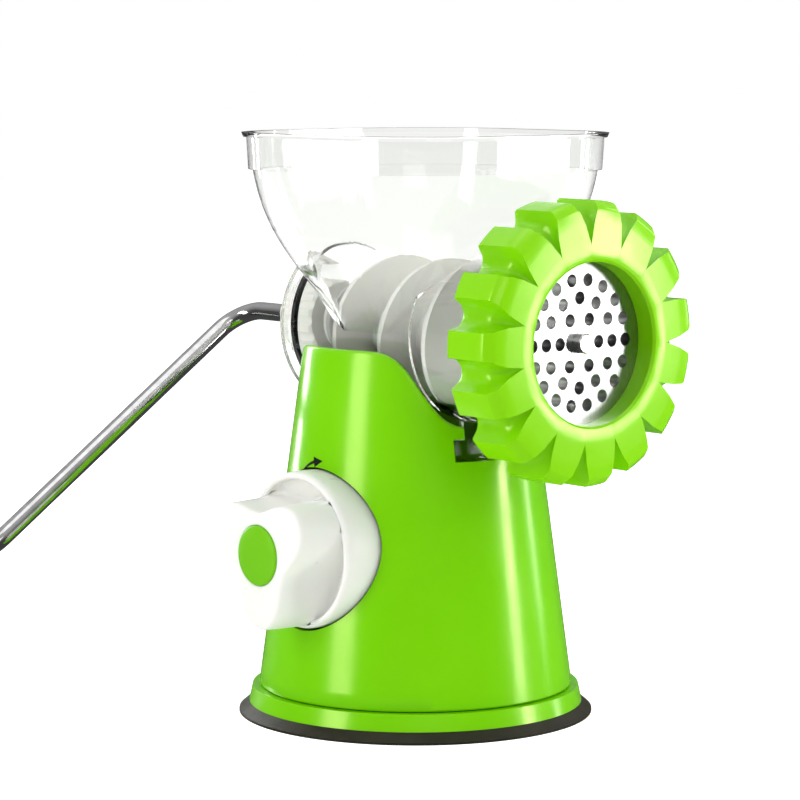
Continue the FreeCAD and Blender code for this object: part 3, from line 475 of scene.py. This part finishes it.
def make_knob():
    """A drum with a three-lobed handle and a scooped face, turned ring by ring from the middle."""
    low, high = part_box("suction_knob")
    drum = (high[2] - low[2]) / 2
    face, back = -low[0], -high[0]
    shoulder = face - HANDLE_RISE
    seat = CAP_SEAT
    count = 192
    rings = []

    def ring(radius_of, reach_of):
        turns = [2 * math.pi * step / count for step in range(count)]
        rings.append([knob_point(radius_of(turn), turn, reach_of(turn)) for turn in turns])

    def hollow(turn):
        """How deep the drum's face is scooped beside the handle."""
        room = max(0.0, (drum - 3.2 * MM - lobe_radius(turn)) / (9 * MM))
        return min(1.0, room) ** 0.6 * 6.5 * MM

    ring(lambda turn: SHAFT_BORE, lambda turn: face - 2.2 * MM)
    ring(lambda turn: seat, lambda turn: face - 2.2 * MM)
    ring(lambda turn: seat, lambda turn: face - 0.35 * MM)
    ring(lambda turn: seat + 0.35 * MM, lambda turn: face - 0.05 * MM)
    ring(lambda turn: seat + (lobe_radius(turn) - seat) * 0.35, lambda turn: face)
    for inset, drop in ((2.2, 0.05), (1.3, 0.25), (0.6, 0.75), (0.15, 1.6), (0.0, 2.8)):
        ring(lambda turn, inset=inset: lobe_radius(turn) - inset * MM,
             lambda turn, drop=drop: face - drop * MM)
    for spread, share in ((0.25, 0.35), (0.5, 0.7), (0.8, 1.0)):
        ring(lambda turn, spread=spread: min(lobe_radius(turn) + spread * MM, drum - 1.3 * MM),
             lambda turn, share=share: face - 2.8 * MM - (face - 2.8 * MM - shoulder) * share)
    for spread, share in ((1.2, 0.6), (1.9, 0.9), (3.0, 1.0)):
        ring(lambda turn, spread=spread: min(lobe_radius(turn) + spread * MM, drum - 1.3 * MM),
             lambda turn, share=share: shoulder - hollow(turn) * share)
    ring(lambda turn: drum - 2.9 * MM, lambda turn: shoulder - hollow(turn) * 0.55)
    for inset, drop in ((2.7, 0.9), (2.3, 0.25), (1.7, 0.0), (1.0, 0.2), (0.4, 0.9), (0.1, 1.9)):
        ring(lambda turn, inset=inset: drum - inset * MM, lambda turn, drop=drop: shoulder - drop * MM)
    ring(lambda turn: drum, lambda turn: shoulder - 3.2 * MM)
    ring(lambda turn: drum, lambda turn: back + 0.6 * MM)
    ring(lambda turn: drum - 0.6 * MM, lambda turn: back)
    ring(lambda turn: SHAFT_BORE, lambda turn: back)
    mesh = grid_mesh("knob_mesh", rings, closed_rows=True)
    piece_from("knob_handle", mesh, WHITE, "knob", "white_plastic", "suction_knob", angle=50)


def make_knob_cap():
    """A shallow domed disc."""
    low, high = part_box("knob_cap")
    radius = (high[2] - low[2]) / 2
    face, back = -low[0], -high[0]
    profile = [(0.0, face), (radius * 0.6, face - 0.05 * MM), (radius - 1.0 * MM, face - 0.2 * MM),
               (radius - 0.4 * MM, face - 0.45 * MM), (radius - 0.05 * MM, face - 0.9 * MM),
               (radius, back), (0.0, back)]
    rings = [[knob_point(reach, 2 * math.pi * step / 96, out) for step in range(96)]
             for reach, out in profile]
    mesh = grid_mesh("cap_mesh", rings)
    piece_from("knob_cap_disc", mesh, GREEN_CAP, "knob", "green_cap_plastic", "knob_cap", angle=50)


# ---- tower -------------------------------------------------------------------------------------

TOWER_LOW, TOWER_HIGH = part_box("base_tower")[0][2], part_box("base_tower")[1][2]
FOOT_RADIUS = (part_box("base_tower")[1][1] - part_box("base_tower")[0][1]) / 2
TOP_RADIUS = 40.8 * MM
WALL = 2.6 * MM
WELL_GAP = 0.8 * MM
WELL_WALL = 2.4 * MM
WELL_FLOOR = 33.1 * MM
WELL_FACE = 35.5 * MM
WELL_BORE = 8.2 * MM
SLOT_GAP = 0.3 * MM
LUG_LOW = 97.3 * MM
LUG_STEP = 104.7 * MM
LUG_LEFT = -17.7 * MM
LUG_NECK_LEFT = -13.7 * MM
LUG_RIGHT = 14 * MM
SLOT_REAR = -0.03
SLOT_FRONT = -0.07
SLOT_TOP = 0.125


def tower_radius(height):
    """The outside radius of the tapered tower at a height."""
    share = (height - TOWER_LOW) / (TOWER_HIGH - TOWER_LOW)
    return FOOT_RADIUS + (TOP_RADIUS - FOOT_RADIUS) * share


def notch_height(across):
    """The saddle's edge at a distance to the side: a flat floor, steep flanks and round shoulders."""
    spots = [(0, 108.9), (13, 108.9), (18, 110.2), (22, 113.6), (25.4, 119.5), (28.3, 126.5),
             (30.6, 131.6), (33.2, 134.6), (36.5, 135.8), (80, 135.8)]
    across = abs(across) / MM
    for (x0, z0), (x1, z1) in zip(spots, spots[1:]):
        if across <= x1:
            share = (across - x0) / (x1 - x0)
            return (z0 + (z1 - z0) * share) * MM
    return TOWER_HIGH


def smooth_notch(across):
    """The same edge with its corners averaged away."""
    reach = 2.4 * MM
    picks = [notch_height(across + reach * step / 4) for step in range(-4, 5)]
    return sum(picks) / len(picks)


def tower_top_height(turn):
    """Where the saddle's edge cuts the tower's wall, found by settling height against radius."""
    height = TOWER_HIGH
    for _ in range(12):
        height = 0.5 * height + 0.5 * smooth_notch(tower_radius(height) * math.cos(turn))
    return height


def tower_tool_box(low, high):
    """A closed box as a cutting tool."""
    mesh = bpy.data.meshes.new("tool_box")
    made = bmesh.new()
    bmesh.ops.create_cube(made, size=1)
    middle = (Vector(low) + Vector(high)) / 2
    span = Vector(high) - Vector(low)
    for vert in made.verts:
        vert.co = middle + Vector((vert.co.x * span.x, vert.co.y * span.y, vert.co.z * span.z))
    made.to_mesh(mesh)
    made.free()
    return mesh


def well_edge(turn, radius, inset):
    """How far out along -X the well's wall meets the tower, a little under its surface."""
    across = radius * math.cos(turn)
    height = KNOB_Z + radius * math.sin(turn)
    return math.sqrt(tower_radius(height) ** 2 - across ** 2) - inset


def make_tower():
    """The tower's wall with a saddle on top, cut for the knob and the lug, and the knob's well."""
    count = 320
    turns = [2 * math.pi * step / count for step in range(count)]
    tops = [tower_top_height(turn) for turn in turns]
    rings = []
    levels = 44

    def wall(inset, drop, share):
        ring = []
        for turn, top in zip(turns, tops):
            height = TOWER_LOW + (top - drop - TOWER_LOW) * share
            radius = tower_radius(height) - inset
            ring.append((radius * math.cos(turn), radius * math.sin(turn), height))
        rings.append(ring)

    wall(0.5 * MM, 0, 0.0)
    for index in range(1, levels + 1):
        wall(0.0, 1.1 * MM, index / levels if index > 1 else 0.006)
    wall(0.10 * MM, 0.55 * MM, 1)
    wall(0.40 * MM, 0.15 * MM, 1)
    wall(1.0 * MM, 0.0, 1)
    wall(WALL - 0.6 * MM, 0.0, 1)
    wall(WALL, 0.5 * MM, 1)
    for index in range(levels - 1, 0, -4):
        wall(WALL, 0.5 * MM, index / levels)
    wall(WALL, 0, 0.0)
    mesh = grid_mesh("tower_mesh", rings, closed_rows=True)
    tower = piece_from("tower_shell", mesh, GREEN, "housing", "green_plastic", "base_tower", angle=40)
    drum_low, drum_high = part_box("suction_knob")
    well = (drum_high[2] - drum_low[2]) / 2 + WELL_GAP
    bore = [[knob_point(well, 2 * math.pi * step / 160, out) for step in range(160)]
            for out in (30 * MM, 80 * MM)]
    carve(tower, grid_mesh("bore_tool", bore, cap_start=True, cap_end=True))
    carve(tower, tower_tool_box((LUG_LEFT - SLOT_GAP, SLOT_FRONT, LUG_LOW - SLOT_GAP),
                                (LUG_RIGHT + SLOT_GAP, SLOT_REAR, LUG_STEP + SLOT_GAP)))
    carve(tower, tower_tool_box((LUG_NECK_LEFT - SLOT_GAP, SLOT_FRONT, LUG_STEP - 1 * MM),
                                (LUG_RIGHT + SLOT_GAP, SLOT_REAR, SLOT_TOP)))
    tower.data.set_sharp_from_angle(angle=math.radians(40))
    rings = []
    outer = well + WELL_WALL
    for radius, inset, out in ((well, 0.6 * MM, None), (well, None, WELL_FACE),
                               (WELL_BORE, None, WELL_FACE), (WELL_BORE, None, WELL_FLOOR),
                               (outer, None, WELL_FLOOR), (outer, 1.6 * MM, None)):
        ring = []
        for step in range(160):
            turn = 2 * math.pi * step / 160
            reach = well_edge(turn, radius, inset) if out is None else out
            ring.append(knob_point(radius, turn, reach))
        rings.append(ring)
    mesh = grid_mesh("well_mesh", rings, closed_rows=True)
    piece_from("knob_well", mesh, GREEN, "housing", "green_plastic", angle=40)


# ---- spring ------------------------------------------------------------------------------------


def make_spring():
    """The CAD coil, copied as a piece of its own with the spring look."""
    mesh = nodes["stem_spring"].data.copy()
    piece = piece_from("spring_coil", mesh, SPRING, "housing", "spring_steel", "stem_spring")
    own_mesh(piece)


# ---- direction arrow ---------------------------------------------------------------------------

ARROW_CENTRE_Y = -2.5 * MM
ARROW_CENTRE_Z = 80.5 * MM
ARROW_RADIUS = 15.5 * MM
ARROW_STEPS = 24
INK_PROUD = 0.12 * MM
INK_SUNK = -0.2 * MM


def tower_point(across, height, lift):
    """A point on the knob's side of the tower, across is +Y, raised a little off its surface."""
    radius = tower_radius(height) + lift
    return (-math.sqrt(radius ** 2 - across ** 2), across, height)


def arrow_corner(made, radius, turn):
    """The outer and inner vertex at a radius and turn about the arrow's centre."""
    across = ARROW_CENTRE_Y + radius * math.cos(turn)
    height = ARROW_CENTRE_Z + radius * math.sin(turn)
    return [made.verts.new(tower_point(across, height, lift)) for lift in (INK_PROUD, INK_SUNK)]


def arrow_strip(made, pairs):
    """A closed thin band through pairs of corners, each pair an outer and an inner edge."""
    rows = [[arrow_corner(made, radius, turn) for radius, turn in pair] for pair in pairs]
    for (a, b), (c, d) in zip(rows, rows[1:]):
        made.faces.new((a[0], b[0], d[0], c[0]))
        made.faces.new((a[1], c[1], d[1], b[1]))
        made.faces.new((a[0], c[0], c[1], a[1]))
        made.faces.new((b[0], b[1], d[1], d[0]))
    for a, b in (rows[0], rows[-1]):
        made.faces.new((a[0], a[1], b[1], b[0]))


def make_arrow():
    """A thin printed arc with a head, that shows which way the knob turns."""
    shaft = []
    for step in range(ARROW_STEPS + 1):
        share = step / ARROW_STEPS
        turn = math.radians(12 + 64 * share)
        half = (0.14 + 0.42 * share) * MM
        shaft.append(((ARROW_RADIUS + half, turn), (ARROW_RADIUS - half, turn)))
    neck = math.radians(73)
    tip = math.radians(90)
    head = [((ARROW_RADIUS + 1.9 * MM, neck), (ARROW_RADIUS - 1.9 * MM, neck)),
            ((ARROW_RADIUS + 0.02 * MM, tip), (ARROW_RADIUS - 0.02 * MM, tip))]
    mesh = bpy.data.meshes.new("arrow_mesh")
    made = bmesh.new()
    arrow_strip(made, shaft)
    arrow_strip(made, head)
    bmesh.ops.recalc_face_normals(made, faces=made.faces)
    made.to_mesh(mesh)
    made.free()
    piece_from("direction_arrow", mesh, INK, "housing", "foot_rubber")


make_camera()
make_lights()
dress_nodes()
make_ring_nut()
make_knob()
make_knob_cap()
make_tower()
make_arrow()
make_spring()

floor_mesh = bpy.data.meshes.new("floor")
floor_mesh.from_pydata([(-4, -4, 0), (4, -4, 0), (4, 4, 0), (-4, 4, 0)], [], [(0, 1, 2, 3)])
floor_mesh.materials.append(floor_material())
floor = bpy.data.objects.new("floor", floor_mesh)
bpy.context.scene.collection.objects.link(floor)
